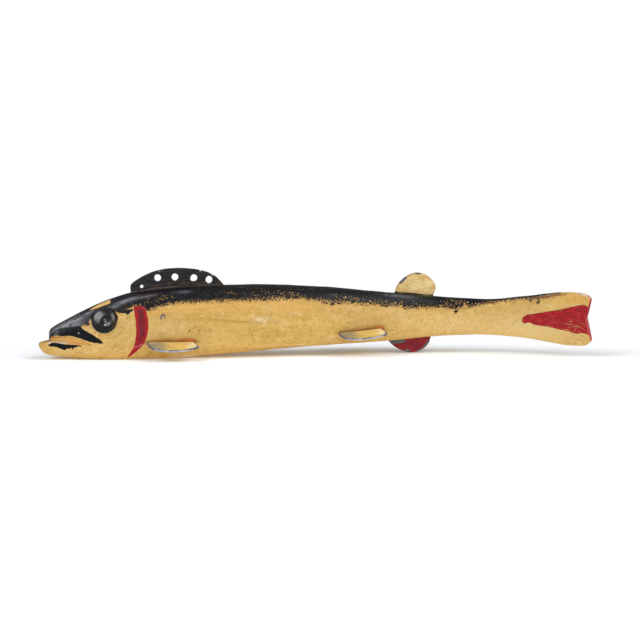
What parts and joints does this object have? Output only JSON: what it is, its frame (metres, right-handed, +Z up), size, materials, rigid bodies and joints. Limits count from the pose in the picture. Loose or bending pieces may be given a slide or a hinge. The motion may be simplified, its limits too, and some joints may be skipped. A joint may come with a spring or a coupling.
{
  "type": "fish decoy",
  "caption": "Carved and painted wooden fish decoy with sheet metal fins, line-tie holes in its back fin, round tack eyes and a tail bent to the left.",
  "frame": {"origin": "on the ground, under the middle of the decoy's bounding box", "axes": "+X from the head towards the tail, +Z up, the fish's left side towards -Y"},
  "size_m": [0.2286, 0.0446, 0.0373],
  "materials": {
    "painted_wood": "aged semi-gloss oil paint, ochre yellow with a dabbed black back, a red gill and a red tail wedge, scuffed and dirty",
    "black_sheet": "black paint on thin sheet, worn to bare grey metal along its edges",
    "cream_sheet": "ochre cream paint on thin sheet, worn to bare grey metal along its edges",
    "red_sheet": "dull red paint on thin sheet, worn to bare grey metal along its edges",
    "black_tack": "glossy black paint on a domed tack head, its middle worn to rust and bare metal"
  },
  "bodies": {
    "root": {"body": "painted_wood", "dorsal_fin": "black_sheet", "adipose_fin": "cream_sheet", "anal_fin": "red_sheet", "left_pectoral_fin": "cream_sheet", "right_pectoral_fin": "cream_sheet", "left_pelvic_fin": "cream_sheet", "right_pelvic_fin": "cream_sheet", "left_eye": "black_tack", "right_eye": "black_tack"}
  },
  "joints": []
}
